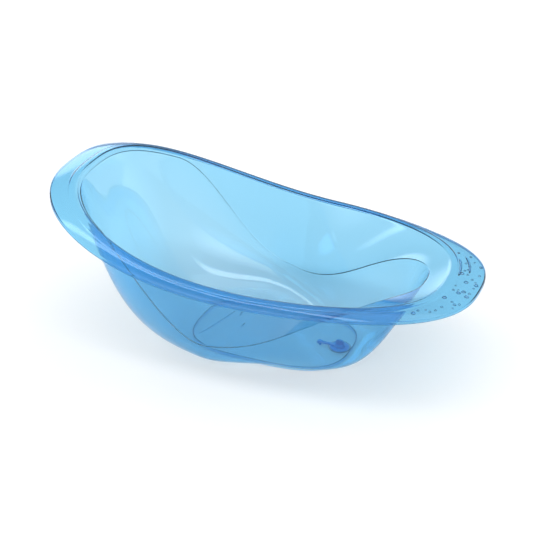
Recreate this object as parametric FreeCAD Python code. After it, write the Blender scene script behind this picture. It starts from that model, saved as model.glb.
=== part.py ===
"""Moulded baby bathtub: one thin tinted shell, and the stopper that closes its drain.

The shell is a skin of smooth loops round the tub, stacked from the floor's edge out to the
rim's lip. The same loops, moved through the wall's thickness, make its underside. The bowl
fills the whole width at the head end and narrows to a leg channel at the foot end. Its edge,
the crease, leaves the rim near the head, dips low along the sides and climbs to the foot.

Millimetres. +Z is up, +X points to the foot end, and z = 0 is what the tub stands on.
"""

import FreeCAD
import Part

import math
import os

from FreeCAD import Vector

# Overall sizes
LENGTH = 950.0
WIDTH = 532.0
SIDE_HEIGHT = 220.0  # rim's outer edge above the ground, along the sides and at the foot
HEAD_RISE = 124.0  # how much higher the rim is at the head end
RISE_START = 90.0  # where along X the rim starts to climb towards the head
WALL = 2.2

# Rim, from its outer edge inwards
RIM_FULLNESS = 2.62
RIM_TAPER = 0.11  # share of the width gained at the head and lost at the foot
LIP_DEPTH = 6.0
LIP_FLARE = 1.0
APRON_HEAD = 40.0  # the sloping band between the lip and the raised bead
APRON_SIDE = 11.0
APRON_FOOT = 56.0
APRON_DROP_END = 5.0
APRON_DROP_SIDE = 11.0
APRON_BULGE = 1.4
BEAD = 22.0
BEAD_CROWN = 1.6

# Floor and foot ring
FLOOR_HEAD = 165.0
FLOOR_FOOT = 206.0
FLOOR_HALF_WIDTH = 126.0
FLOOR_FULLNESS = 3.0
GROUND_GAP = 8.0  # from the ground to the floor's underside
RING_INSET = 5.0
RING_WIDTH = 4.0

# Crease between the bowl and the side panels
CREASE_MARGIN = 6.0  # between the crease and the bead where they run together at the head
CREASE_FOOT = 358.0
CREASE_NARROW = 148.0  # half the channel's width at the foot
NARROWING_START = -90.0
NARROWING_END = 170.0
CREASE_LOW = 74.0
CREASE_FOOT_RISE = 143.0
DIP_START = -40.0  # where along X the crease starts to climb towards the head
DIP_END = -300.0
PANEL_DRAFT = 0.12  # how far the crease lies in from the rim for each millimetre it lies below

# Shape of the wall's section: how far out and up its curve is pulled, as shares of its run
BOWL_PULL_HEAD = 0.55
BOWL_PULL_SIDE = 0.88
BOWL_PULL_FOOT = 0.36
BOWL_PULL_UP = 0.0
PANEL_PULL_OUT = 0.56
PANEL_PULL_UP = 0.44

# How sharply the sides turn into the ends: 2 is even, more keeps the ends' values to the ends
RIM_TURN = 2.0
BOWL_TURN = 4.0

# Drain
DRAIN_X = 174.0
SEAT_RADIUS = 23.0
SEAT_DEPTH = 2.2
HOLE_RADIUS = 16.6  # at the seat
HOLE_TAPER = 0.9  # how much less the radius is at the bottom
SOCKET_FLOOR = 1.5  # the socket's lower end, above the ground
RUNNING_FIT = 0.05

# Stopper
FLANGE_RADIUS = 21.0
BODY_RADIUS = 14.4
BODY_TAPER = 0.8
BODY_BOTTOM = 2.5
SEAL_RISE = 4.6  # from the stopper's bottom to the seal's groove
SEAL_HEIGHT = 2.2
SEAL_GROOVE = 1.6
NECK_RADIUS = 8.0
NECK_HEIGHT = 3.0
CAP_RADIUS = 10.0
CAP_HEIGHT = 1.6
GRIP_WIDTH = 17.0
GRIP_THICKNESS = 4.0
GRIP_HEIGHT = 12.0
GRIP_ROUNDING = 4.8
SEAL_ROUNDING = 0.66

# Strap and the stud that holds it
STRAP_THICKNESS = 2.4
STRAP_LIFT = 0.2  # air under the strap
STRAP_WIDTH = 8.0
EYE_RADIUS = 12.0
HINGE_REACH = 34.0  # from the drain's middle to the strap's hinge
KNUCKLE_WIDTH = 4.4
KNUCKLE_SIDE_GAP = 0.1
KNUCKLE_GAP = 0.25  # between the knuckles' round faces and what they turn past
PIN_RADIUS = 0.6
STUD_REACH = 46.0
ANCHOR_RADIUS = 6.8
ANCHOR_FOOT_WALL = 1.5
STUD_NECK = 3.0
STUD_SHANK = 2.5
STUD_HEAD_RADIUS = 5.4
STUD_HEAD_HEIGHT = 2.2
STUD_HEAD_ROUNDING = 1.32
STUD_BOTTOM = 3.2
STUD_FIT = 0.02
BOSS_WALL = 2.5

AROUND = 96
BOWL_ROWS = 10
PANEL_ROWS = 6
RIM_ROWS = 4
SKIN_DEGREE = 3

FLOOR_TOP = GROUND_GAP + WALL
DRAIN = Vector(DRAIN_X, 0, 0)
UP = Vector(0, 0, 1)


def smooth(u):
    """Ease from 0 to 1 as u goes from 0 to 1."""
    u = min(max(u, 0.0), 1.0)
    return u * u * (3.0 - 2.0 * u)


def blend(t, head, side, foot, sharpness):
    """Mix three values by how much of the head, the sides and the foot there is at t."""
    end = abs(math.cos(t)) ** sharpness
    return (1.0 - end) * side + end * (head if math.cos(t) < 0 else foot)


def outline(t, head, foot, half_width, fullness, taper=0.0):
    """A point of an egg-shaped loop at the angle t, from the foot end round by +Y."""
    c, s = math.cos(t), math.sin(t)
    reach = (abs(c) ** fullness + abs(s) ** fullness) ** (-1.0 / fullness)
    x = (foot if c > 0 else head) * c * reach
    y = half_width * s * reach * (1.0 - taper * x / (LENGTH / 2))
    return x, y


def rim_height(x):
    climb = max(0.0, (RISE_START - x) / (RISE_START + LENGTH / 2))
    return SIDE_HEIGHT + HEAD_RISE * climb**2


def rim_edge(t, flare=0.0, lift=0.0):
    half_length = LENGTH / 2 - LIP_FLARE + flare
    x, y = outline(
        t, half_length, half_length, WIDTH / 2 - LIP_FLARE + flare, RIM_FULLNESS, RIM_TAPER
    )
    return Vector(x, y, rim_height(x) + lift)


def inner_rim(t, in_head, in_side, in_foot, lift):
    """A loop of the rim that lies in from its edge, at the height of the edge plus lift."""
    half_length = LENGTH / 2 - LIP_FLARE
    x, y = outline(
        t,
        half_length - in_head,
        half_length - in_foot,
        WIDTH / 2 - LIP_FLARE - in_side,
        RIM_FULLNESS,
        RIM_TAPER,
    )
    return Vector(x, y, rim_edge(t).z + lift)


def apron_point(t, share):
    """A point of the sloping band: share is 0 at the bead and 1 at the rim's edge."""
    drop = blend(t, APRON_DROP_END, APRON_DROP_SIDE, APRON_DROP_END, RIM_TURN)
    bulge = APRON_BULGE * 4.0 * share * (1.0 - share)
    keep = 1.0 - share
    return inner_rim(
        t, APRON_HEAD * keep, APRON_SIDE * keep, APRON_FOOT * keep, drop * keep + bulge
    )


def bead_point(t, share):
    """A point of the raised band: share is 0 at its inner edge and 1 at its outer edge."""
    drop = blend(t, APRON_DROP_END, APRON_DROP_SIDE, APRON_DROP_END, RIM_TURN)
    further_in = BEAD * (1.0 - share)
    crown = BEAD_CROWN * 4.0 * share * (1.0 - share)
    return inner_rim(
        t,
        APRON_HEAD + further_in,
        APRON_SIDE + further_in,
        APRON_FOOT + further_in,
        drop + crown,
    )


def floor_edge(t, inset=0.0):
    x, y = outline(
        t, FLOOR_HEAD - inset, FLOOR_FOOT - inset, FLOOR_HALF_WIDTH - inset, FLOOR_FULLNESS
    )
    return Vector(x, y, FLOOR_TOP)


def crease_point(t):
    top = bead_point(t, 0.0)
    wide = WIDTH / 2 - LIP_FLARE - APRON_SIDE - BEAD - CREASE_MARGIN
    head = LENGTH / 2 - LIP_FLARE - APRON_HEAD - BEAD - CREASE_MARGIN
    x, side = outline(t, head, CREASE_FOOT, 1.0, RIM_FULLNESS, RIM_TAPER)
    narrowing = smooth((x - NARROWING_START) / (NARROWING_END - NARROWING_START))
    half_width = wide + (CREASE_NARROW - wide) * narrowing
    head_top = top.z - CREASE_MARGIN
    z = CREASE_LOW
    z += (head_top - CREASE_LOW) * smooth((DIP_START - x) / (DIP_START - DIP_END))
    z += CREASE_FOOT_RISE * smooth(x / CREASE_FOOT)
    y = half_width * side
    y -= PANEL_DRAFT * max(head_top - z, 0.0) * math.sin(t)
    return Vector(x, y, z)


def curve_between(low, high, pull_out, pull_up, share):
    """A point of the curve from low to high, pulled out and up by shares of its run."""
    weight = 2.0 * share * (1.0 - share)
    out = weight * pull_out + share**2
    up = weight * pull_up + share**2
    x = low.x + (high.x - low.x) * out
    y = low.y + (high.y - low.y) * out
    return Vector(x, y, low.z + (high.z - low.z) * up)


def bowl_point(t, share):
    out = blend(t, BOWL_PULL_HEAD, BOWL_PULL_SIDE, BOWL_PULL_FOOT, BOWL_TURN)
    return curve_between(floor_edge(t), crease_point(t), out, BOWL_PULL_UP, share)


def panel_point(t, share):
    low, high = crease_point(t), bead_point(t, 0.0)
    return curve_between(low, high, PANEL_PULL_OUT, PANEL_PULL_UP, share)


def skin_bands():
    """The upper skin's bands, each a list of functions that give a loop's point at t."""
    def loops(point, rows):
        return [lambda t, share=row / rows: point(t, share) for row in range(rows + 1)]

    return [
        loops(bowl_point, BOWL_ROWS),
        loops(panel_point, PANEL_ROWS),
        loops(bead_point, RIM_ROWS),
        loops(apron_point, RIM_ROWS),
        [rim_edge, lambda t: rim_edge(t, LIP_FLARE, -LIP_DEPTH)],
    ]


def under_point(before, here, after, t):
    """The point through the wall from here, square to the skin on both sides of the loop."""
    step = 2.0 * math.pi / AROUND / 4.0
    along = here(t + step) - here(t - step)
    middle = here(t)
    normals = []
    if before is not None:
        normals.append(along.cross(middle - before(t)))
    if after is not None:
        normals.append(along.cross(after(t) - middle))
    for normal in normals:
        normal.normalize()
    total = normals[0] + normals[-1]
    total.normalize()
    return middle + total * (WALL / total.dot(normals[0]))


def loop_wire(points):
    curve = Part.BSplineCurve()
    curve.interpolate(
        Points=points, PeriodicFlag=True, Parameters=[float(i) for i in range(AROUND + 1)]
    )
    return Part.Wire(curve.toShape())


def angles():
    return [2.0 * math.pi * i / AROUND for i in range(AROUND)]


def loft(wires):
    return Part.makeLoft(wires, False, len(wires) == 2, False, SKIN_DEGREE).Faces


def shell_skin():
    bands = skin_bands()
    chain = [bands[0][0]]
    for band in bands:
        chain += band[1:]
    upper = []
    under = []
    for index, here in enumerate(chain):
        before = chain[index - 1] if index > 0 else None
        after = chain[index + 1] if index + 1 < len(chain) else None
        upper.append(loop_wire([here(t) for t in angles()]))
        if before is None:
            under.append(loop_wire([here(t) - UP * WALL for t in angles()]))
        else:
            under.append(loop_wire([under_point(before, here, after, t) for t in angles()]))
    faces = [Part.Face(upper[0]), Part.Face(under[0])]
    start = 0
    for band in bands:
        end = start + len(band) - 1
        faces += loft(upper[start : end + 1])
        faces += loft(under[start : end + 1])
        start = end
    faces += loft([upper[-1], under[-1]])
    shell = Part.Shell(faces)
    shell.sewShape()
    return Part.Solid(shell)


def disc(radius, bottom, top, centre=DRAIN):
    return Part.makeCylinder(radius, top - bottom, centre + UP * bottom)


def cone(bottom_radius, top_radius, bottom, top):
    return Part.makeCone(bottom_radius, top_radius, top - bottom, DRAIN + UP * bottom)


def foot_ring():
    outer = loop_wire([floor_edge(t, RING_INSET) - UP * FLOOR_TOP for t in angles()])
    inner = loop_wire([floor_edge(t, RING_INSET + RING_WIDTH) - UP * FLOOR_TOP for t in angles()])
    height = UP * (GROUND_GAP + WALL / 2)
    return Part.Face(outer).extrude(height).cut(Part.Face(inner).extrude(height))


def stud_centre():
    return DRAIN - Vector(STUD_REACH, 0, 0)


def tub_shell():
    seat = FLOOR_TOP - SEAT_DEPTH
    seat_under = seat - WALL
    body = shell_skin().fuse(foot_ring())
    body = body.fuse(disc(SEAT_RADIUS + WALL, seat_under, GROUND_GAP + WALL / 2))
    body = body.fuse(disc(HOLE_RADIUS + WALL, SOCKET_FLOOR, seat_under + WALL / 2))
    boss_radius = STUD_SHANK + BOSS_WALL
    boss = disc(boss_radius, SOCKET_FLOOR, GROUND_GAP + WALL / 2, stud_centre())
    body = body.fuse(boss)
    body = body.cut(disc(SEAT_RADIUS, seat, FLOOR_TOP + WALL))
    hole = cone(HOLE_RADIUS - HOLE_TAPER, HOLE_RADIUS, SOCKET_FLOOR, seat)
    body = body.cut(hole)
    body = body.cut(disc(STUD_SHANK + STUD_FIT, STUD_BOTTOM, FLOOR_TOP + WALL, stud_centre()))
    return body


def hole_radius(z):
    share = (z - SOCKET_FLOOR) / (FLOOR_TOP - SEAT_DEPTH - SOCKET_FLOOR)
    return HOLE_RADIUS - HOLE_TAPER * (1.0 - share)


def seal_levels():
    bottom = BODY_BOTTOM + SEAL_RISE - SEAL_HEIGHT
    return bottom, bottom + SEAL_HEIGHT


def drain_plug():
    seat = FLOOR_TOP - SEAT_DEPTH
    body = cone(BODY_RADIUS - BODY_TAPER, BODY_RADIUS, BODY_BOTTOM, seat)
    bottom, top = seal_levels()
    groove = disc(BODY_RADIUS + WALL, bottom, top)
    groove = groove.cut(disc(BODY_RADIUS - SEAL_GROOVE, bottom, top))
    body = body.cut(groove)
    body = body.fuse(disc(FLANGE_RADIUS, seat, FLOOR_TOP))
    body = body.fuse(disc(NECK_RADIUS, FLOOR_TOP, FLOOR_TOP + NECK_HEIGHT))
    cap_bottom = FLOOR_TOP + NECK_HEIGHT
    cap = disc(CAP_RADIUS, cap_bottom, cap_bottom + CAP_HEIGHT)
    body = body.fuse(cap)
    cap_top = cap_bottom + CAP_HEIGHT
    corner = DRAIN + Vector(-GRIP_WIDTH / 2, -GRIP_THICKNESS / 2, cap_top)
    grip = Part.makeBox(GRIP_WIDTH, GRIP_THICKNESS, GRIP_HEIGHT, corner)
    tall = [e for e in grip.Edges if abs(e.BoundBox.YLength - GRIP_THICKNESS) < 0.01]
    grip = grip.makeFillet(GRIP_ROUNDING, [e for e in tall if e.BoundBox.ZMax > cap_top + 1])
    return body.fuse(grip).removeSplitter()


def plug_seal():
    bottom, top = seal_levels()
    outer = hole_radius(bottom) - RUNNING_FIT
    ring = disc(outer, bottom, top)
    ring = ring.makeFillet(SEAL_ROUNDING, [e for e in ring.Edges if e.Closed])
    return ring.cut(disc(BODY_RADIUS - SEAL_GROOVE, bottom, top))


def strap_level():
    return FLOOR_TOP + STRAP_LIFT


def hinge_rod(radius, width, middle=0.0):
    """A round bar along the hinge's axis, as wide as given, about the given Y."""
    axis_height = strap_level() + STRAP_THICKNESS / 2
    start = DRAIN + Vector(-HINGE_REACH, middle - width / 2, axis_height)
    return Part.makeCylinder(radius, width, start, Vector(0, 1, 0))


def strap_bar(start, end, width, middle=0.0):
    """A flat length of the strap between two distances from the drain's middle."""
    corner = DRAIN + Vector(-end, middle - width / 2, strap_level())
    return Part.makeBox(end - start, width, STRAP_THICKNESS, corner)


def plug_strap():
    low = strap_level()
    high = low + STRAP_THICKNESS
    knuckle = STRAP_THICKNESS / 2
    arm = strap_bar(0, HINGE_REACH - knuckle - KNUCKLE_GAP, STRAP_WIDTH)
    arm = arm.fuse(strap_bar(0, HINGE_REACH, KNUCKLE_WIDTH))
    arm = arm.fuse(hinge_rod(knuckle, KNUCKLE_WIDTH))
    strap = arm.fuse(disc(EYE_RADIUS, low, high))
    strap = strap.cut(disc(NECK_RADIUS + RUNNING_FIT, low, high))
    strap = strap.cut(hinge_rod(PIN_RADIUS + RUNNING_FIT, STRAP_WIDTH))
    return strap.removeSplitter()


def strap_anchor():
    low = strap_level()
    high = low + STRAP_THICKNESS
    knuckle = STRAP_THICKNESS / 2
    slot_width = KNUCKLE_WIDTH + 2 * KNUCKLE_SIDE_GAP
    ear_width = (STRAP_WIDTH - slot_width) / 2
    ear_middle = (slot_width + ear_width) / 2
    anchor = strap_bar(HINGE_REACH, STUD_REACH, STRAP_WIDTH)
    anchor = anchor.fuse(disc(ANCHOR_RADIUS, low, high, stud_centre()))
    anchor = anchor.cut(strap_bar(0, HINGE_REACH + knuckle + KNUCKLE_GAP, slot_width))
    for middle in (-ear_middle, ear_middle):
        anchor = anchor.fuse(hinge_rod(knuckle, ear_width, middle))
    anchor = anchor.fuse(hinge_rod(PIN_RADIUS, slot_width + ear_width))
    anchor = anchor.fuse(disc(STUD_NECK + ANCHOR_FOOT_WALL, FLOOR_TOP, low, stud_centre()))
    hole = disc(STUD_NECK + RUNNING_FIT, FLOOR_TOP, high, stud_centre())
    return anchor.cut(hole).removeSplitter()


def strap_stud():
    centre = stud_centre()
    head_bottom = strap_level() + STRAP_THICKNESS
    stud = disc(STUD_SHANK, STUD_BOTTOM, FLOOR_TOP, centre)
    stud = stud.fuse(disc(STUD_NECK, FLOOR_TOP, head_bottom, centre))
    head = disc(STUD_HEAD_RADIUS, head_bottom, head_bottom + STUD_HEAD_HEIGHT, centre)
    rim = [e for e in head.Edges if e.Closed and e.BoundBox.ZMin > head_bottom + STUD_FIT]
    head = head.makeFillet(STUD_HEAD_ROUNDING, rim)
    return stud.fuse(head).removeSplitter()


def main():
    os.makedirs("parts", exist_ok=True)
    builders = [tub_shell, drain_plug, plug_seal, plug_strap, strap_anchor, strap_stud]
    for build in builders:
        build().exportStep(f"parts/{build.__name__}.step")


main()
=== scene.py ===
"""A clear blue baby bathtub with its drain stopper, on a pale floor in soft light.

The tub's wall is one loop of edges, extruded from the drain outwards: up the drain's sleeve,
over the floor, up the bowl, across the crease and the side panels, and round the rim to its
lip. Lengths are in metres, +Z is up, +X points to the foot end.
"""

import logging
import math
import random
from dataclasses import dataclass, field
from enum import Enum
from typing import Callable, Sequence

import bpy
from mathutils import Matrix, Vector


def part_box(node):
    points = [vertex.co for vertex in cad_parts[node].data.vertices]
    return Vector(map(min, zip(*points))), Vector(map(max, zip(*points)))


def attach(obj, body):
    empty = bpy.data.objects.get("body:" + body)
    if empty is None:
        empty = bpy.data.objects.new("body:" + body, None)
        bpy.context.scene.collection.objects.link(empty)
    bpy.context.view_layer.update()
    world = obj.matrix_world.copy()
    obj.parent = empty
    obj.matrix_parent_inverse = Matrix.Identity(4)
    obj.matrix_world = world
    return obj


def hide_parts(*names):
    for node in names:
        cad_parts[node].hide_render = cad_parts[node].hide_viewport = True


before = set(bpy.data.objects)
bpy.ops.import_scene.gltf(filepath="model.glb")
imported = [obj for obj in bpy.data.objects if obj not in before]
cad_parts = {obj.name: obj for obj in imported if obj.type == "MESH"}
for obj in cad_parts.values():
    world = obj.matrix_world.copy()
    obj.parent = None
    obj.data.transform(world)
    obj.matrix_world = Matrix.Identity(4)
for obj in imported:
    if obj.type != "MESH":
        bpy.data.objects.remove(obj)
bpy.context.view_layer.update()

log = logging.getLogger("baby_bathtub")

MM = 0.001
# The step in an angle or a share over which a surface's direction is measured.
STEP = 0.002
# Points nearer than this are one point.
MERGE_GAP = 1e-6
# Edges sharper than these angles in degrees stay crisp, on the mouldings and on the bars.
CRISP_EDGE = 40.0
CRISP_BAR = 60.0

# A loop round the tub, from the angle: 0 is the foot end, and +Y comes next.
Point = Callable[[float], Vector]
# A strip of the wall, from the angle and the share across the strip.
Band = Callable[[float, float], Vector]
# A line on a strip: the angle in degrees and the share, at each of its two ends.
Path = tuple[tuple[float, float], tuple[float, float]]


# Colour and nodes


def linear(hex_colour: str, alpha: float = 1.0) -> tuple[float, float, float, float]:
    """Turn an sRGB hex colour into linear light.

    Args:
        hex_colour: six hex digits after a hash.
        alpha: the fourth value of the result.

    Returns:
        Red, green and blue in linear light, and alpha.
    """
    parts = [int(hex_colour[i : i + 2], 16) / 255 for i in (1, 3, 5)]
    light = [c / 12.92 if c <= 0.04045 else ((c + 0.055) / 1.055) ** 2.4 for c in parts]
    return (light[0], light[1], light[2], alpha)


def add_node(
    tree: bpy.types.NodeTree,
    kind: str,
    settings: dict[str, object] | None = None,
    inputs: dict[str, object] | None = None,
) -> bpy.types.Node:
    """Add a node, set its properties, and set or link its inputs.

    Args:
        tree: the node tree to add to.
        kind: the node's type name.
        settings: its properties by name.
        inputs: its inputs by name, each a value or an output socket to link.

    Returns:
        The new node.
    """
    node = tree.nodes.new(kind)
    for name, value in (settings or {}).items():
        setattr(node, name, value)
    for name, value in (inputs or {}).items():
        if isinstance(value, bpy.types.NodeSocket):
            tree.links.new(value, node.inputs[name])
        else:
            node.inputs[name].default_value = value
    return node


def new_material(name: str) -> tuple[bpy.types.Material, bpy.types.NodeTree]:
    """Make an empty node material.

    Args:
        name: the material's name.

    Returns:
        The material and its node tree.
    """
    material = bpy.data.materials.new(name)
    material.use_nodes = True
    material.node_tree.nodes.clear()
    return material, material.node_tree


def moulded_relief(
    tree: bpy.types.NodeTree, ripple: float, grain: float, depth: float
) -> tuple[bpy.types.NodeSocket, bpy.types.NodeSocket]:
    """Make the slow ripple and fine grain that a moulded plastic face has.

    Args:
        tree: the material's node tree.
        ripple: the size of one slow wave.
        grain: the size of one fine grain.
        depth: the height of the ripple.

    Returns:
        The bumped normal, and the grain's pattern from 0 to 1.
    """
    place = add_node(tree, "ShaderNodeTexCoord").outputs["Object"]
    slow = add_node(
        tree, "ShaderNodeTexNoise", inputs={"Vector": place, "Scale": 1 / ripple, "Detail": 1.0}
    )
    fine = add_node(
        tree, "ShaderNodeTexNoise", inputs={"Vector": place, "Scale": 1 / grain, "Detail": 3.0}
    )
    bump = add_node(
        tree,
        "ShaderNodeBump",
        inputs={"Height": slow.outputs["Fac"], "Strength": 1.0, "Distance": depth},
    )
    return bump.outputs["Normal"], fine.outputs["Fac"]


def spread(
    tree: bpy.types.NodeTree, pattern: bpy.types.NodeSocket, ends: tuple[float, float]
) -> bpy.types.NodeSocket:
    """Spread a pattern's 0 to 1 over another range.

    Args:
        tree: the node tree.
        pattern: the pattern.
        ends: the values for 0 and 1.

    Returns:
        The spread pattern.
    """
    return add_node(
        tree,
        "ShaderNodeMapRange",
        inputs={"Value": pattern, "To Min": ends[0], "To Max": ends[1]},
    ).outputs["Result"]


@dataclass(frozen=True)
class ClearPlastic:
    """Clear tinted polypropylene or styrene, injection moulded in a polished mould.

    The tint is in the plastic, so it deepens with each wall that light goes through. The faces
    are glossy, with the slow ripple of a large moulding.
    """

    name: str = "tinted_clear_polypropylene"
    tint: str = "#3adcf5"
    density: float = 400.0
    surface: str = "#eef6ff"
    clarity: float = 0.99
    roughness: tuple[float, float] = (0.03, 0.07)
    ior: float = 1.49
    ripple: float = 70 * MM
    grain: float = 9 * MM
    depth: float = 0.25 * MM

    def material(self) -> bpy.types.Material:
        """Build the node material.

        Returns:
            The material.
        """
        made, tree = new_material(self.name)
        normal, grain = moulded_relief(tree, self.ripple, self.grain, self.depth)
        shader = add_node(
            tree,
            "ShaderNodeBsdfPrincipled",
            inputs={
                "Base Color": linear(self.surface),
                "Roughness": spread(tree, grain, self.roughness),
                "IOR": self.ior,
                "Transmission Weight": self.clarity,
                "Normal": normal,
            },
        )
        volume = add_node(
            tree,
            "ShaderNodeVolumeAbsorption",
            inputs={"Color": linear(self.tint), "Density": self.density},
        )
        add_node(
            tree,
            "ShaderNodeOutputMaterial",
            inputs={"Surface": shader.outputs["BSDF"], "Volume": volume.outputs["Volume"]},
        )
        return made


@dataclass(frozen=True)
class SolidPlastic:
    """Opaque coloured plastic or rubber, moulded, with a satin face and a fine grain."""

    name: str
    deep: str
    pale: str
    roughness: tuple[float, float]
    ior: float = 1.49
    ripple: float = 9 * MM
    grain: float = 0.8 * MM
    depth: float = 0.02 * MM

    def material(self) -> bpy.types.Material:
        """Build the node material.

        Returns:
            The material.
        """
        made, tree = new_material(self.name)
        normal, grain = moulded_relief(tree, self.ripple, self.grain, self.depth)
        colour = add_node(
            tree,
            "ShaderNodeMix",
            settings={"data_type": "RGBA"},
            inputs={0: grain, 6: linear(self.deep), 7: linear(self.pale)},
        )
        shader = add_node(
            tree,
            "ShaderNodeBsdfPrincipled",
            inputs={
                "Base Color": colour.outputs[2],
                "Roughness": spread(tree, grain, self.roughness),
                "IOR": self.ior,
                "Normal": normal,
            },
        )
        add_node(
            tree, "ShaderNodeOutputMaterial", inputs={"Surface": shader.outputs["BSDF"]}
        )
        return made


class Finish(Enum):
    """The finishes of the tub's pieces."""

    # Polished mould faces: sharp soft-box glints, and a blue that deepens where walls overlap.
    TUB = ClearPlastic()
    # Polyethylene, softer and waxier than the tub: a broad, dull sheen.
    STOPPER = SolidPlastic("moulded_blue_polyethylene", "#2f86cf", "#4a9ee0", (0.32, 0.46))
    # Thermoplastic rubber: dark and nearly matte.
    SEAL = SolidPlastic("soft_thermoplastic_rubber", "#16304f", "#1d3b5e", (0.6, 0.75))


# Mesh helpers


def deselect_all() -> None:
    """Leave nothing selected, in object mode."""
    if bpy.context.object is not None and bpy.context.object.mode != "OBJECT":
        bpy.ops.object.mode_set(mode="OBJECT")
    bpy.ops.object.select_all(action="DESELECT")


def select_only(piece: bpy.types.Object) -> None:
    """Select one piece and make it the active one.

    Args:
        piece: the object.
    """
    deselect_all()
    piece.select_set(True)
    bpy.context.view_layer.objects.active = piece


def take_active(name: str) -> bpy.types.Object:
    """Name the active object and its mesh, and return it.

    Args:
        name: the new name.

    Returns:
        The object.
    """
    piece = bpy.context.object
    piece.name = name
    piece.data.name = name
    return piece


def settle(piece: bpy.types.Object) -> bpy.types.Object:
    """Move a piece's place, turn and scale into its mesh, and return it.

    Args:
        piece: the object.

    Returns:
        The same object.
    """
    select_only(piece)
    bpy.ops.object.transform_apply(location=True, rotation=True, scale=True)
    return piece


def apply_modifier(
    piece: bpy.types.Object, kind: str, settings: dict[str, object]
) -> None:
    """Add a modifier, set it and apply it.

    Args:
        piece: the object to change.
        kind: the modifier's type.
        settings: its properties by name.
    """
    bpy.context.view_layer.objects.active = piece
    modifier = piece.modifiers.new(kind.title(), kind)
    for name, value in settings.items():
        setattr(modifier, name, value)
    bpy.ops.object.modifier_apply(modifier=modifier.name)


def shade(piece: bpy.types.Object, angle: float) -> None:
    """Shade smooth, with edges sharper than the angle in degrees left crisp."""
    select_only(piece)
    bpy.ops.object.shade_smooth_by_angle(angle=math.radians(angle))


def material_of(finish: Finish) -> bpy.types.Material:
    """The finish's material, built the first time it is asked for."""
    return bpy.data.materials.get(finish.value.name) or finish.value.material()


def finish_piece(
    piece: bpy.types.Object, finish: Finish, body: str, nodes: Sequence[str] = ()
) -> None:
    """Give a piece its material and its body, and hide the CAD nodes it stands for.

    Args:
        piece: the finished piece.
        finish: its finish.
        body: the CAD body that it rides on.
        nodes: the CAD nodes that it replaces.
    """
    piece.data.materials.clear()
    piece.data.materials.append(material_of(finish))
    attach(piece, body)
    if nodes:
        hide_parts(*nodes)
    log.info("%s: %d faces on %s", piece.name, len(piece.data.polygons), body)


def extruded_loops(name: str, loops: Sequence[Sequence[Vector]]) -> bpy.types.Object:
    """Make a skin by extruding a circle of edges once for each further loop.

    Args:
        name: the object's name.
        loops: the points of each loop, all of the same count.

    Returns:
        The open skin, from the first loop to the last.
    """
    around = len(loops[0])
    deselect_all()
    bpy.ops.mesh.primitive_circle_add(vertices=around, radius=1.0)
    piece = take_active(name)
    bpy.ops.object.mode_set(mode="EDIT")
    bpy.ops.mesh.select_all(action="SELECT")
    for _ in loops[1:]:
        bpy.ops.mesh.extrude_edges_move()
    bpy.ops.object.mode_set(mode="OBJECT")
    places = [c for loop in loops for point in loop for c in point]
    piece.data.vertices.foreach_set("co", places)
    piece.data.update()
    return piece


def face_up_at(piece: bpy.types.Object, place: Vector) -> None:
    """Turn an open skin's normals so that the face nearest to a place points up.

    Args:
        piece: the skin.
        place: the place.
    """
    nearest = min(piece.data.polygons, key=lambda f: (f.center - place).length)
    if nearest.normal.z < 0:
        select_only(piece)
        bpy.ops.object.mode_set(mode="EDIT")
        bpy.ops.mesh.select_all(action="SELECT")
        bpy.ops.mesh.flip_normals()
        bpy.ops.object.mode_set(mode="OBJECT")


def close_and_face_out(piece: bpy.types.Object) -> None:
    """Merge a skin's seam, close its open ends and point its faces outwards.

    Args:
        piece: the skin.
    """
    select_only(piece)
    bpy.ops.object.mode_set(mode="EDIT")
    bpy.ops.mesh.select_all(action="SELECT")
    bpy.ops.mesh.remove_doubles(threshold=MERGE_GAP)
    bpy.ops.mesh.select_all(action="SELECT")
    bpy.ops.mesh.fill_holes(sides=0)
    bpy.ops.mesh.select_all(action="SELECT")
    bpy.ops.mesh.normals_make_consistent(inside=False)
    bpy.ops.object.mode_set(mode="OBJECT")


def joined(name: str, pieces: Sequence[bpy.types.Object]) -> bpy.types.Object:
    """Join pieces into one, and name it.

    Args:
        name: the joined piece's name.
        pieces: the pieces, each with its place in its mesh.

    Returns:
        The joined piece.
    """
    deselect_all()
    for piece in pieces:
        piece.select_set(True)
    bpy.context.view_layer.objects.active = pieces[0]
    bpy.ops.object.join()
    return take_active(name)


def ease(u: float) -> float:
    """Ease from 0 to 1 as u goes from 0 to 1."""
    u = min(max(u, 0.0), 1.0)
    return u * u * (3 - 2 * u)


def circle_at(centre: Vector, radius: float, height: float) -> Point:
    """A level circle as a function of the angle.

    Args:
        centre: its middle, of which x and y count.
        radius: its radius.
        height: its height.

    Returns:
        The point at each angle.
    """
    return lambda t: Vector(
        (centre.x + radius * math.cos(t), centre.y + radius * math.sin(t), height)
    )


def trim_share(band: Band, t: float, end: float, reach: float) -> float:
    """The share of a band that a length takes up at one of its ends, up to a limit.

    Args:
        band: the band.
        t: the angle round the tub.
        end: 0 for its start or 1 for its end.
        reach: the length.

    Returns:
        The share.
    """
    probe, limit = 0.02, 0.4
    speed = (band(t, end) - band(t, abs(end - probe))).length / probe
    return min(reach / max(speed, MERGE_GAP), limit)


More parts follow.
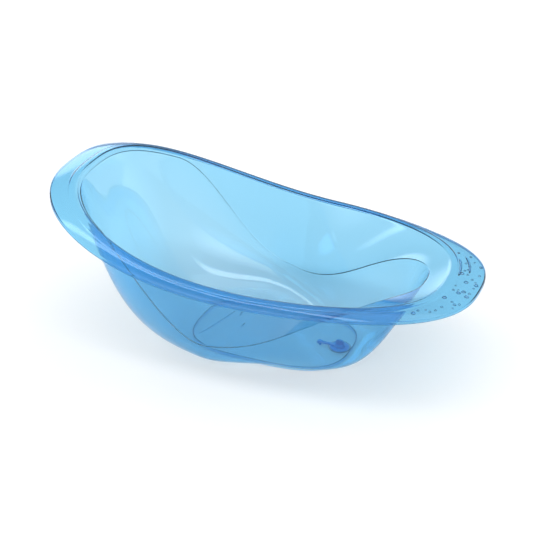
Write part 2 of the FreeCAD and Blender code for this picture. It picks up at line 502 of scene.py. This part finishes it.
def rounded_section(bands: Sequence[tuple[Band, int, float]], t: float) -> list[Vector]:
    """Join bands end to end at the angle t, each corner between them rounded.

    Args:
        bands: each band's point function, its rows, and the reach of the rounding at its end.
        t: the angle.

    Returns:
        The section's points, as many at every angle.
    """
    corner_steps = 5
    points: list[Vector] = []
    start = 0.0
    for index, (band, rows, reach) in enumerate(bands):
        last = index + 1 == len(bands)
        end = 1.0 if last else 1.0 - trim_share(band, t, 1.0, reach)
        points += [band(t, start + (end - start) * row / rows) for row in range(rows + 1)]
        if last:
            break
        following = bands[index + 1][0]
        start = trim_share(following, t, 0.0, reach)
        before, corner, after = points[-1], band(t, 1.0), following(t, start)
        for step in range(1, corner_steps):
            u = step / corner_steps
            points.append(before.lerp(corner, u).lerp(corner.lerp(after, u), u))
    return points


def drain_centre() -> Vector:
    """The middle of the drain hole, on the ground."""
    low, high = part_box("plug_seal")
    return Vector(((low.x + high.x) / 2, (low.y + high.y) / 2, 0.0))


# The tub


@dataclass
class Tub:
    """The moulded shell: floor, bowl, side panels, rim, lip, drain seat and foot ring."""

    # The highest corner of the CAD shell's box, and the drain's middle
    high: Vector = field(default_factory=lambda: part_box("tub_shell")[1])
    drain: Vector = field(default_factory=drain_centre)
    # How many columns of faces go round the tub
    around: int = 240
    # Wall: the CAD wall sets the floor's height, and the others are drawn
    wall: float = 2.2 * MM
    rim_wall: float = 3.2 * MM
    floor_wall: float = 1.3 * MM
    panel_wall: float = 2.5 * MM
    # Rows of the section where the wall starts to thicken, has the panel's wall, and thickens
    # again over the last few rows to the rim's
    wall_rows: tuple[int, int, int] = (33, 68, 95)
    rim_wall_rows: int = 6
    # Rim: its edge, its lip, then the apron and the bead inside it. Triples of sizes are for
    # the head, the sides and the foot.
    lip_half_width: float = 266 * MM
    side_height: float = 220 * MM
    head_rise: float = 124 * MM
    rise_start: float = 90 * MM
    rim_fullness: float = 2.62
    rim_taper: float = 0.11
    lip_depth: float = 6 * MM
    lip_flare: float = 1 * MM
    apron: tuple[float, float, float] = (40 * MM, 11 * MM, 56 * MM)
    apron_drop_end: float = 5 * MM
    apron_drop_side: float = 11 * MM
    apron_bulge: float = 1.4 * MM
    bead: float = 22 * MM
    bead_crown: float = 1.6 * MM
    bead_step: float = 1.4 * MM
    bead_shoulder: float = 0.2
    # Ledge that the crease stands on
    ledge: float = 3.4 * MM
    ledge_rise: float = 0.8 * MM
    # Floor, as its reach to the head, half its width and its reach to the foot, and its ring
    floor: tuple[float, float, float] = (165 * MM, 126 * MM, 206 * MM)
    floor_fullness: float = 3.0
    ground_gap: float = 8 * MM
    ring_inset: float = 5 * MM
    ring_width: float = 1.8 * MM
    ring_rounding: float = 0.8 * MM
    # Crease between the bowl and the side panels
    crease_margin: float = 6 * MM
    crease_foot: float = 358 * MM
    crease_narrow: float = 148 * MM
    narrowing: tuple[float, float] = (-90 * MM, 170 * MM)
    crease_low: float = 74 * MM
    crease_foot_rise: float = 143 * MM
    dip: tuple[float, float] = (-40 * MM, -300 * MM)
    panel_draft: float = 0.12
    # How far the section's curves are pulled: out for the bowl, out and up for the panel
    bowl_pull: tuple[float, float, float] = (0.55, 0.88, 0.36)
    panel_pull: tuple[float, float] = (0.56, 0.44)
    # Drain
    seat_radius: float = 23 * MM
    seat_depth: float = 2.2 * MM
    hole_radius: float = 16.6 * MM
    hole_taper: float = 0.9 * MM
    socket_floor: float = 1.5 * MM
    socket_rounding: float = 0.6 * MM
    # Bubbles on the foot's apron: angles in degrees, and shares across the apron
    bubbles: int = 34
    bubble_seed: int = 11
    bubble_tries: int = 400
    bubble_span: tuple[float, float] = (-38.0, 30.0)
    bubble_shares: tuple[float, float] = (0.12, 0.86)
    bubble_gap: float = 2 * MM
    bubble_radii: tuple[float, ...] = (2.5 * MM, 3.2 * MM, 4 * MM, 5 * MM)
    # Arcs beside the bead, and the marks on the side panel, each with its width and height
    arcs: tuple[Path, Path] = (((7, 0.04), (25, 0.04)), ((12, 0.4), (28, 0.36)))
    arc_size: tuple[float, float] = (5 * MM, 1.3 * MM)
    level_line: Path = ((261, 0.2), (273.5, 0.72))
    line_size: tuple[float, float] = (2.6 * MM, 1.0 * MM)
    ticks: tuple[Path, Path] = (((274.6, 0.64), (275.6, 0.72)), ((274.2, 0.42), (275.6, 0.5)))
    tick_size: tuple[float, float] = (3 * MM, 1.2 * MM)

    @property
    def half_length(self) -> float:
        """Half the length of the rim's top edge."""
        return self.high.x - self.lip_flare

    @property
    def half_width(self) -> float:
        """Half the width of the rim's top edge, before its taper."""
        return self.lip_half_width - self.lip_flare

    @property
    def floor_top(self) -> float:
        """The height of the floor's upper face."""
        return self.ground_gap + self.wall

    def mix(self, t: float, head: float, side: float, foot: float, sharp: float) -> float:
        """Mix three values by how much of the head, the sides and the foot there is at t."""
        end = abs(math.cos(t)) ** sharp
        return (1 - end) * side + end * (head if math.cos(t) < 0 else foot)

    def outline(
        self, t: float, head: float, foot: float, half: float, fullness: float, taper: float
    ) -> tuple[float, float]:
        """A point of an egg-shaped loop.

        Args:
            t: the angle, from the foot end round by +Y.
            head: the reach to the head end.
            foot: the reach to the foot end.
            half: half the width.
            fullness: 2 for an ellipse, more for a fuller shape.
            taper: the share of the width gained at the head and lost at the foot.

        Returns:
            The point's x and y.
        """
        c, s = math.cos(t), math.sin(t)
        reach = (abs(c) ** fullness + abs(s) ** fullness) ** (-1 / fullness)
        x = (foot if c > 0 else head) * c * reach
        return x, half * s * reach * (1 - taper * x / self.high.x)

    def rim_height(self, x: float) -> float:
        """The height of the rim's edge along the tub."""
        climb = max(0.0, (self.rise_start - x) / (self.rise_start + self.high.x))
        return self.side_height + self.head_rise * climb**2

    def rim_edge(self, t: float, flare: float = 0.0, lift: float = 0.0) -> Vector:
        """The rim's outer edge, moved out by flare and up by lift.

        Args:
            t: the angle round the tub.
            flare: how far out.
            lift: how far up.

        Returns:
            The point.
        """
        reach = self.half_length + flare
        x, y = self.outline(
            t, reach, reach, self.half_width + flare, self.rim_fullness, self.rim_taper
        )
        return Vector((x, y, self.rim_height(x) + lift))

    def inner_rim(self, t: float, head: float, side: float, foot: float, lift: float) -> Vector:
        """A loop of the rim that lies in from its edge, at the edge's height plus lift.

        Args:
            t: the angle round the tub.
            head: how far in at the head.
            side: how far in at the sides.
            foot: how far in at the foot.
            lift: how far above the edge's height.

        Returns:
            The point.
        """
        x, y = self.outline(
            t,
            self.half_length - head,
            self.half_length - foot,
            self.half_width - side,
            self.rim_fullness,
            self.rim_taper,
        )
        return Vector((x, y, self.rim_edge(t).z + lift))

    def drop(self, t: float) -> float:
        """How far the rim's sloping apron falls."""
        return self.mix(t, self.apron_drop_end, self.apron_drop_side, self.apron_drop_end, 2)

    def apron_point(self, t: float, share: float) -> Vector:
        """A point of the apron: share is 0 at the bead and 1 at the rim's edge.

        Args:
            t: the angle round the tub.
            share: the share across the apron.

        Returns:
            The point.
        """
        keep = 1 - share
        bulge = self.apron_bulge * 4 * share * keep
        head, side, foot = (width * keep for width in self.apron)
        return self.inner_rim(t, head, side, foot, self.drop(t) * keep + bulge)

    def bead_point(self, t: float, share: float) -> Vector:
        """A point of the raised bead: share is 0 at its inner edge and 1 at its outer edge.

        Args:
            t: the angle round the tub.
            share: the share across the bead.

        Returns:
            The point.
        """
        crown = self.bead_crown * 4 * share * (1 - share)
        shoulder = self.bead_shoulder
        crown += self.bead_step * ease(share / shoulder) * ease((1 - share) / shoulder)
        head, side, foot = (width + self.bead * (1 - share) for width in self.apron)
        return self.inner_rim(t, head, side, foot, self.drop(t) + crown)

    def floor_edge(self, t: float, inset: float = 0.0) -> Vector:
        """The edge of the flat floor, moved in by inset.

        Args:
            t: the angle round the tub.
            inset: how far in.

        Returns:
            The point.
        """
        head, side, foot = (reach - inset for reach in self.floor)
        x, y = self.outline(t, head, foot, side, self.floor_fullness, 0.0)
        return Vector((x, y, self.floor_top))

    def crease(self, t: float) -> Vector:
        """The line where the bowl meets the side panels.

        Args:
            t: the angle round the tub.

        Returns:
            The point.
        """
        in_head = self.apron[0] + self.bead + self.crease_margin
        in_side = self.apron[1] + self.bead + self.crease_margin
        x, side = self.outline(
            t,
            self.half_length - in_head,
            self.crease_foot,
            1.0,
            self.rim_fullness,
            self.rim_taper,
        )
        start, end = self.narrowing
        wide = self.half_width - in_side
        half = wide + (self.crease_narrow - wide) * ease((x - start) / (end - start))
        top = self.bead_point(t, 0).z - self.crease_margin
        start, end = self.dip
        z = self.crease_low
        z += (top - self.crease_low) * ease((start - x) / (start - end))
        z += self.crease_foot_rise * ease(x / self.crease_foot)
        y = half * side - self.panel_draft * max(top - z, 0.0) * math.sin(t)
        return Vector((x, y, z))

    @staticmethod
    def pulled(low: Vector, high: Vector, out: float, up: float, share: float) -> Vector:
        """A point of the curve from low to high, pulled out and up by shares of its run.

        Args:
            low: the curve's lower end.
            high: its upper end.
            out: the share of its run out that its middle is pulled to.
            up: the same, upwards.
            share: the share along the curve.

        Returns:
            The point.
        """
        weight = 2 * share * (1 - share)
        across = weight * out + share**2
        rise = weight * up + share**2
        step = high - low
        return low + Vector((step.x * across, step.y * across, step.z * rise))

    def bowl_point(self, t: float, share: float) -> Vector:
        """A point of the bowl: share is 0 at the floor and 1 at the crease."""
        out = self.mix(t, *self.bowl_pull, 4)
        return self.pulled(self.floor_edge(t), self.crease(t), out, 0.0, share)

    def ledge_point(self, t: float, share: float) -> Vector:
        """A point of the ledge that the crease stands on: share is 0 at its inner edge.

        Args:
            t: the angle round the tub.
            share: the share across the ledge.

        Returns:
            The point.
        """
        along = self.crease(t + STEP) - self.crease(t - STEP)
        out = Vector((along.y, -along.x, 0)).normalized() * self.ledge * share
        return self.crease(t) + out + Vector((0, 0, self.ledge_rise * share))

    def panel_point(self, t: float, share: float) -> Vector:
        """A point of the side panel: share is 0 at the ledge and 1 at the bead."""
        low, high = self.ledge_point(t, 1), self.bead_point(t, 0)
        return self.pulled(low, high, *self.panel_pull, share)

    def lip_point(self, t: float, share: float) -> Vector:
        """A point of the lip: share is 0 at the rim's edge and 1 at its lower end."""
        return self.rim_edge(t, self.lip_flare * share, -self.lip_depth * share)

    def floor_point(self, t: float, share: float) -> Vector:
        """A point of the floor: share is 0 at the drain seat and 1 at the bowl."""
        near = circle_at(self.drain, self.seat_radius, self.floor_top)(t)
        return near.lerp(self.floor_edge(t), share)

    def socket_bands(self) -> list[tuple[Band, int, float]]:
        """The drain's sleeve, seat and seat wall, with their rows and end roundings.

        Returns:
            The bands, from the bottom of the sleeve outwards.
        """
        seat = self.floor_top - self.seat_depth
        foot = circle_at(self.drain, self.hole_radius - self.hole_taper, self.socket_floor)
        mouth = circle_at(self.drain, self.hole_radius, seat)
        edge = circle_at(self.drain, self.seat_radius, seat)
        top = circle_at(self.drain, self.seat_radius, self.floor_top)

        def between(a: Point, b: Point) -> Band:
            """The straight band from one loop to another."""
            return lambda t, share: a(t).lerp(b(t), share)

        return [
            (between(foot, mouth), 3, self.socket_rounding),
            (between(mouth, edge), 2, self.socket_rounding),
            (between(edge, top), 2, self.socket_rounding),
        ]

    def profile(self, t: float) -> list[Vector]:
        """The wall's section at the angle t, with its corners rounded.

        Args:
            t: the angle round the tub.

        Returns:
            The section's points, from the drain to the lip.
        """
        # Each band with its rows and the reach of the rounding at its end
        bands = self.socket_bands() + [
            (self.floor_point, 6, 0.5 * MM),
            (self.bowl_point, 30, 4.0 * MM),
            (self.ledge_point, 2, 4.0 * MM),
            (self.panel_point, 16, 3.0 * MM),
            (self.bead_point, 18, 1.5 * MM),
            (self.apron_point, 20, 2.0 * MM),
            (self.lip_point, 3, 0.0),
        ]
        return rounded_section(bands, t)

    def wall_at(self, row: int) -> float:
        """The wall's thickness at a row of the section: thin in the bowl, thick in the rim.

        Args:
            row: the row, counted from the drain.

        Returns:
            The thickness.
        """
        bowl, panel, bead = self.wall_rows
        climb = min(max((row - bowl) / (panel - bowl), 0.0), 1.0)
        if row < bead:
            return self.floor_wall + (self.panel_wall - self.floor_wall) * climb
        climb = min((row - bead) / self.rim_wall_rows, 1.0)
        return self.panel_wall + (self.rim_wall - self.panel_wall) * climb

    def shell(self) -> bpy.types.Object:
        """The wall as a closed solid.

        Returns:
            The wall.
        """
        angles = [math.tau * i / self.around for i in range(self.around)]
        sections = [self.profile(t) for t in angles]
        loops = list(zip(*sections))
        piece = extruded_loops("tub_wall", loops)
        face_up_at(piece, Vector((0, 0, self.floor_top)))
        group = piece.vertex_groups.new(name="wall")
        for row in range(len(loops)):
            share = self.wall_at(row) / self.rim_wall
            group.add(range(row * self.around, (row + 1) * self.around), share, "REPLACE")
        apply_modifier(
            piece,
            "SOLIDIFY",
            {
                "thickness": self.rim_wall,
                "offset": -1.0,
                "use_even_offset": True,
                "vertex_group": group.name,
            },
        )
        shade(piece, CRISP_EDGE)
        return piece

    def foot_ring(self) -> bpy.types.Object:
        """The low ring under the floor that the tub stands on, its lower edges rounded.

        Returns:
            The ring.
        """
        round_off = self.ring_rounding
        outer, inner = self.ring_inset, self.ring_inset + self.ring_width
        steps = [
            (outer, self.ground_gap + self.wall / 2),
            (outer, round_off),
            (outer + round_off * 0.3, round_off * 0.3),
            (outer + round_off, 0.0),
            (inner - round_off, 0.0),
            (inner - round_off * 0.3, round_off * 0.3),
            (inner, round_off),
            (inner, self.ground_gap + self.wall / 2),
        ]
        angles = [math.tau * i / self.around for i in range(self.around)]
        loops = []
        for inset, height in steps + steps[:1]:
            points = [self.floor_edge(t, inset) for t in angles]
            loops.append([Vector((p.x, p.y, height)) for p in points])
        piece = extruded_loops("tub_foot_ring", loops)
        close_and_face_out(piece)
        shade(piece, CRISP_EDGE)
        return piece

    def surface(self, band: Band, t: float, share: float) -> tuple[Vector, Vector]:
        """A point of a band and the upward normal there.

        Args:
            band: the band's point function.
            t: the angle.
            share: the share across the band.

        Returns:
            The point and the unit normal.
        """
        along = band(t + STEP, share) - band(t - STEP, share)
        across = band(t, share + STEP) - band(t, share - STEP)
        normal = along.cross(across).normalized()
        return band(t, share), normal if normal.z > 0 else -normal

    def bar(self, name: str, band: Band, line: Path, size: tuple[float, float]) -> bpy.types.Object:
        """Sweep a low rounded bar along a line on a band.

        Args:
            name: the piece's name.
            band: the band it stands on.
            line: the angle and the share at each end, the angle in degrees.
            size: the bar's width and height.

        Returns:
            The closed bar.
        """
        rows, round_points = 28, 12
        # The ends are blunt and shrink to almost nothing
        bluntness, least = 6, 0.0004
        (t_start, share_start), (t_end, share_end) = line
        places = []
        for row in range(rows + 1):
            u = row / rows
            t = math.radians(t_start + (t_end - t_start) * u)
            places.append(self.surface(band, t, share_start + (share_end - share_start) * u))
        loops = []
        for row, (place, normal) in enumerate(places):
            before, after = places[max(row - 1, 0)][0], places[min(row + 1, rows)][0]
            side = (after - before).cross(normal).normalized()
            taper = math.sqrt(max(1 - abs(2 * row / rows - 1) ** bluntness, least))
            loop = []
            for point in range(round_points):
                angle = math.tau * point / round_points
                wide = side * math.cos(angle) * size[0] / 2
                high = normal * math.sin(angle) * size[1]
                loop.append(place + (wide + high) * taper)
            loops.append(loop)
        piece = extruded_loops(name, loops)
        close_and_face_out(piece)
        shade(piece, CRISP_BAR)
        return piece

    def bubble(self, radius: float) -> bpy.types.Object:
        """A low round bubble with a raised edge, at the origin.

        Args:
            radius: its radius.

        Returns:
            The bubble, with its face upwards.
        """
        # Reach and height of each ring, as shares of the radius, from the foot inwards
        steps = [(1.0, -0.05), (1.0, 0.12), (0.88, 0.22), (0.68, 0.2), (0.52, 0.08), (0.26, 0.02)]
        columns = 20
        origin = Vector((0, 0, 0))
        angles = [math.tau * i / columns for i in range(columns)]
        loops = [
            [circle_at(origin, radius * reach, radius * height)(t) for t in angles]
            for reach, height in steps
        ]
        piece = extruded_loops("foot_bubble", loops)
        close_and_face_out(piece)
        return piece

    def foot_bubbles(self) -> bpy.types.Object:
        """Scatter bubbles over the apron at the foot, each clear of the others.

        Returns:
            The bubbles as one piece.
        """
        chance = random.Random(self.bubble_seed)
        placed: list[tuple[Vector, float]] = []
        pieces = []
        for _ in range(self.bubble_tries):
            t = math.radians(chance.uniform(*self.bubble_span))
            share = chance.uniform(*self.bubble_shares)
            radius = chance.choice(self.bubble_radii)
            place, normal = self.surface(self.apron_point, t, share)
            room = radius + self.bubble_gap
            if any((place - other).length < room + reach for other, reach in placed):
                continue
            placed.append((place, radius))
            piece = self.bubble(radius)
            piece.rotation_euler = normal.to_track_quat("Z", "Y").to_euler()
            piece.location = place
            pieces.append(settle(piece))
            if len(pieces) == self.bubbles:
                break
        return joined("foot_bubbles", pieces)

    def foot_arcs(self) -> bpy.types.Object:
        """Two raised arcs beside the bead at the foot."""
        bars = [self.bar("arc", self.apron_point, line, self.arc_size) for line in self.arcs]
        return joined("foot_arcs", bars)

    def level_mark(self) -> bpy.types.Object:
        """A raised slanting line with two short ticks, on the near side panel.

        Returns:
            The mark as one piece.
        """
        bars = [self.bar("tick", self.panel_point, self.level_line, self.line_size)]
        bars += [self.bar("tick", self.panel_point, tick, self.tick_size) for tick in self.ticks]
        return joined("level_mark", bars)

    def build(self) -> None:
        """Build and dress the shell's pieces."""
        finish_piece(self.shell(), Finish.TUB, "tub", ["tub_shell"])
        finish_piece(self.foot_ring(), Finish.TUB, "tub")
        finish_piece(self.foot_bubbles(), Finish.TUB, "tub")
        finish_piece(self.foot_arcs(), Finish.TUB, "tub")
        finish_piece(self.level_mark(), Finish.TUB, "tub")


# The stopper


@dataclass(frozen=True)
class Stopper:
    """The stopper, its seal and its strap: CAD nodes whose shapes are right, dressed here."""

    moulded: tuple[str, ...] = ("drain_plug", "plug_strap", "strap_anchor", "strap_stud")
    sealing: tuple[str, ...] = ("plug_seal",)

    def dress(self, name: str, finish: Finish) -> None:
        """Put a finish in each material slot of a CAD node.

        Args:
            name: the node's name.
            finish: its finish.
        """
        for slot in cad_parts[name].material_slots:
            slot.material = material_of(finish)
        log.info("%s: dressed in %s", name, finish.value.name)

    def build(self) -> None:
        """Dress the nodes."""
        for name in self.moulded:
            self.dress(name, Finish.STOPPER)
        for name in self.sealing:
            self.dress(name, Finish.SEAL)


# The stage


@dataclass(frozen=True)
class SoftBox:
    """An oval patch of light far away in the room, with its direction, reach and softness."""

    towards: tuple[float, float, float]
    reach: tuple[float, float, float]
    strength: float
    edge: float = 0.25

    def glow(
        self, tree: bpy.types.NodeTree, place: bpy.types.NodeSocket
    ) -> bpy.types.NodeSocket:
        """Add the nodes that give the patch's light for a direction.

        Args:
            tree: the world's node tree.
            place: the direction.

        Returns:
            The light's strength.
        """
        away = add_node(
            tree,
            "ShaderNodeVectorMath",
            settings={"operation": "SUBTRACT"},
            inputs={0: place, 1: Vector(self.towards).normalized()},
        )
        scaled = add_node(
            tree,
            "ShaderNodeVectorMath",
            settings={"operation": "DIVIDE"},
            inputs={0: away.outputs["Vector"], 1: self.reach},
        )
        far = add_node(
            tree,
            "ShaderNodeVectorMath",
            settings={"operation": "LENGTH"},
            inputs={0: scaled.outputs["Vector"]},
        )
        return add_node(
            tree,
            "ShaderNodeMapRange",
            inputs={
                "Value": far.outputs["Value"],
                "From Min": 1 - self.edge,
                "From Max": 1 + self.edge,
                "To Min": self.strength,
                "To Max": 0.0,
            },
        ).outputs["Result"]


@dataclass
class Studio:
    """A pale floor, soft light and the camera."""

    # Camera: angles in degrees, and how far below the aim it looks
    azimuth: float = 23.0
    elevation: float = 28.0
    distance: float = 2.97
    lens: float = 92.9
    aim: Vector = field(default_factory=lambda: Vector((0.0, 0.0, 0.222)))
    drop: float = 0.0443
    view_end: float = 50.0
    # Floor
    floor_size: float = 60.0
    floor_glow: float = 0.4
    # Lamp over the tub
    key_size: float = 2.0
    key_power: float = 9.0
    key_place: Vector = field(default_factory=lambda: Vector((0.3, 0.9, 3.0)))
    # Room: the light of its floor and ceiling, then a long overhead strip for the glints in the
    # bowl, a broad front one for the far wall, a small one at the head, one behind the head for
    # its apron, and a faint broad one for the backrest
    room_light: tuple[float, float] = (0.45, 0.57)
    soft_boxes: tuple[SoftBox, ...] = (
        SoftBox((-0.12, -0.22, 0.95), (0.8, 0.12, 0.6), 3.8),
        SoftBox((0.0, -0.9, 0.42), (0.6, 0.4, 0.24), 2.0, edge=0.5),
        SoftBox((-0.8, -0.55, 0.22), (0.12, 0.16, 0.08), 2.4),
        SoftBox((-0.58, 0.78, 0.28), (0.24, 0.22, 0.2), 1.7),
        SoftBox((0.8, 0.6, 0.02), (0.46, 0.5, 0.2), 1.5, edge=0.8),
    )

    def camera(self) -> None:
        """Place the camera."""
        a, e = math.radians(self.azimuth), math.radians(self.elevation)
        back = Vector(
            (math.sin(a) * math.cos(e), -math.cos(a) * math.cos(e), math.sin(e))
        )
        up = Vector((-math.sin(a) * math.sin(e), math.cos(a) * math.sin(e), math.cos(e)))
        data = bpy.data.cameras.new("camera")
        data.lens = self.lens
        data.clip_end = self.view_end
        camera = bpy.data.objects.new("camera", data)
        camera.location = self.aim + back * self.distance
        towards = self.aim - up * self.drop - camera.location
        camera.rotation_euler = towards.to_track_quat("-Z", "Y").to_euler()
        bpy.context.scene.collection.objects.link(camera)
        bpy.context.scene.camera = camera

    def floor(self) -> None:
        """Make the floor, a matte white sheet lit a little from below."""
        deselect_all()
        bpy.ops.mesh.primitive_plane_add(size=self.floor_size)
        floor = take_active("studio_floor")
        made, tree = new_material("matte_white_acrylic")
        shader = add_node(
            tree,
            "ShaderNodeBsdfPrincipled",
            inputs={
                "Base Color": linear("#d0d2d3"),
                "Roughness": 0.9,
                "Specular IOR Level": 0.1,
                "Emission Color": linear("#ffffff"),
                "Emission Strength": self.floor_glow,
            },
        )
        add_node(
            tree, "ShaderNodeOutputMaterial", inputs={"Surface": shader.outputs["BSDF"]}
        )
        floor.data.materials.append(made)

    def room(self) -> None:
        """Make the white room: dim walls, a bright ceiling and its soft boxes."""
        world = bpy.data.worlds.new("white_room")
        world.use_nodes = True
        tree = world.node_tree
        tree.nodes.clear()
        place = add_node(tree, "ShaderNodeTexCoord").outputs["Generated"]
        height = add_node(tree, "ShaderNodeSeparateXYZ", inputs={"Vector": place})
        total = spread(tree, height.outputs["Z"], self.room_light)
        for box in self.soft_boxes:
            total = add_node(
                tree,
                "ShaderNodeMath",
                settings={"operation": "ADD"},
                inputs={0: total, 1: box.glow(tree, place)},
            ).outputs["Value"]
        shader = add_node(
            tree,
            "ShaderNodeBackground",
            inputs={"Color": linear("#ffffff"), "Strength": total},
        )
        add_node(
            tree, "ShaderNodeOutputWorld", inputs={"Surface": shader.outputs["Background"]}
        )
        bpy.context.scene.world = world

    def key_light(self) -> None:
        """Hang one soft box over the tub, for its shadow."""
        data = bpy.data.lights.new("key_box", "AREA")
        data.size = self.key_size
        data.energy = self.key_power
        light = bpy.data.objects.new("key_box", data)
        light.location = self.key_place
        light.rotation_euler = (self.aim - light.location).to_track_quat("-Z", "Y").to_euler()
        bpy.context.scene.collection.objects.link(light)

    def lights(self) -> None:
        """Light the room."""
        self.room()
        self.key_light()

    def build(self) -> None:
        """Set the whole stage."""
        self.camera()
        self.floor()
        self.lights()
        bpy.context.scene.view_settings.view_transform = "Standard"


def main() -> None:
    """Build the tub and the stage, in order."""
    logging.basicConfig(level=logging.INFO, format="%(message)s")
    Tub().build()
    Stopper().build()
    Studio().build()


if __name__ == "__main__":
    main()
